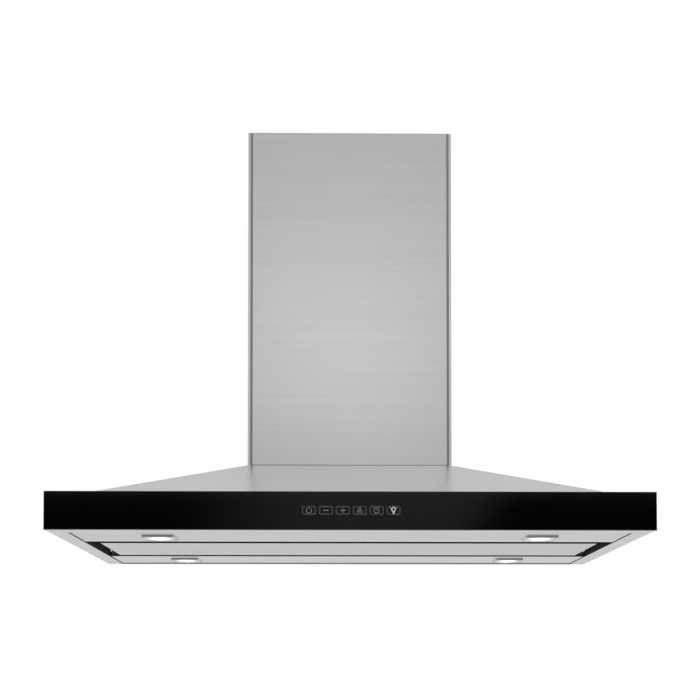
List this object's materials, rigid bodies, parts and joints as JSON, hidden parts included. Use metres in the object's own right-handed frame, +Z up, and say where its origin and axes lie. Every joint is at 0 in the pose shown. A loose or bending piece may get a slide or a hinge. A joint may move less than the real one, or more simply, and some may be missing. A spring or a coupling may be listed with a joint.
{
  "type": "island range hood",
  "caption": "Island range hood: low pyramid canopy with a black glass touch-control band, perimeter suction panel, lamps and a telescopic square chimney that hangs from the ceiling",
  "frame": {"origin": "middle of the ceiling plate's top face, on the ceiling", "axes": "+X to the right seen from the control side, -Y towards the control side, +Z up"},
  "size_m": [0.9, 0.6, 0.653],
  "materials": {
    "stainless_steel": "brushed",
    "black_glass": "gloss",
    "black_steel": "satin",
    "galvanised_steel": "matte",
    "bright_steel": "satin",
    "chromed_rim": "gloss",
    "lamp_lens": "frosted",
    "filter_aluminium": "satin",
    "black_plastic": "matte",
    "circuit_board": "satin",
    "motor_paint": "satin"
  },
  "bodies": {
    "hood": {"blower_base": "galvanised_steel", "blower_cradles": "galvanised_steel", "blower_scroll": "galvanised_steel", "body_frame": "stainless_steel", "cable_gland": "black_plastic", "canopy_shell": "stainless_steel", "control_box": "galvanised_steel", "control_box_lid": "galvanised_steel", "control_card": "circuit_board", "cover_front": "stainless_steel", "cover_left": "stainless_steel", "cover_rear": "stainless_steel", "cover_right": "stainless_steel", "fascia_housing": "stainless_steel", "filter_frame_left": "filter_aluminium", "filter_frame_right": "filter_aluminium", "filter_mesh_left": "filter_aluminium", "filter_mesh_right": "filter_aluminium", "filter_pan": "black_steel", "flap_wires": "bright_steel", "frame_ties": "galvanised_steel", "front_glass": "black_glass", "front_lamp_strip": "stainless_steel", "hinge_brackets": "black_steel", "inlet_ring_left": "black_plastic", "inlet_ring_right": "black_plastic", "lamp_bezel_front_left": "chromed_rim", "lamp_bezel_front_right": "chromed_rim", "lamp_bezel_rear_left": "chromed_rim", "lamp_bezel_rear_right": "chromed_rim", "lamp_lens_front_left": "lamp_lens", "lamp_lens_front_right": "lamp_lens", "lamp_lens_rear_left": "lamp_lens", "lamp_lens_rear_right": "lamp_lens", "latch_guide_left": "black_plastic", "latch_guide_right": "black_plastic", "led_modules": "black_plastic", "lower_posts": "galvanised_steel", "motor": "motor_paint", "motor_bracket": "motor_paint", "outlet_collar": "galvanised_steel", "pan_screws": "bright_steel", "panel_catches": "black_plastic", "rear_lamp_strip": "stainless_steel", "touch_board": "circuit_board"},
    "suction_panel": {"suction_panel": "stainless_steel", "panel_backing": "galvanised_steel", "panel_strikes": "bright_steel", "hinge_pins": "bright_steel"},
    "fan": {"impeller": "black_plastic", "fan_shaft": "bright_steel"},
    "front_flap": {"damper_flap_front": "galvanised_steel"},
    "rear_flap": {"damper_flap_rear": "galvanised_steel"},
    "latch_left": {"filter_latch_left": "black_plastic"},
    "latch_right": {"filter_latch_right": "black_plastic"},
    "upper_section": {"upper_cover_front": "stainless_steel", "upper_cover_rear": "stainless_steel", "upper_posts": "galvanised_steel", "ceiling_plate": "galvanised_steel"}
  },
  "joints": [
    {"name": "panel_hinge", "type": "hinge", "parent": "hood", "child": "suction_panel", "pos_m": [0, 0.098, -0.642], "axis": [1, 0, 0], "range_deg": [0, 85]},
    {"name": "chimney_telescope", "type": "slide", "parent": "hood", "child": "upper_section", "axis": [0, 0, 1], "range_m": [0, 0.25]},
    {"name": "fan_spin", "type": "hinge", "parent": "hood", "child": "fan", "pos_m": [0, 0, -0.385], "axis": [1, 0, 0], "continuous": true},
    {"name": "front_flap_hinge", "type": "hinge", "parent": "hood", "child": "front_flap", "pos_m": [0, -0.004, -0.225], "axis": [-1, 0, 0], "range_deg": [0, 75]},
    {"name": "rear_flap_hinge", "type": "hinge", "parent": "hood", "child": "rear_flap", "pos_m": [0, 0.004, -0.225], "axis": [1, 0, 0], "range_deg": [0, 75]},
    {"name": "left_latch_slide", "type": "slide", "parent": "hood", "child": "latch_left", "axis": [0, 1, 0], "range_m": [0, 0.006], "stiffness_N_per_m": 200},
    {"name": "right_latch_slide", "type": "slide", "parent": "hood", "child": "latch_right", "axis": [0, 1, 0], "range_m": [0, 0.006], "stiffness_N_per_m": 200}
  ]
}
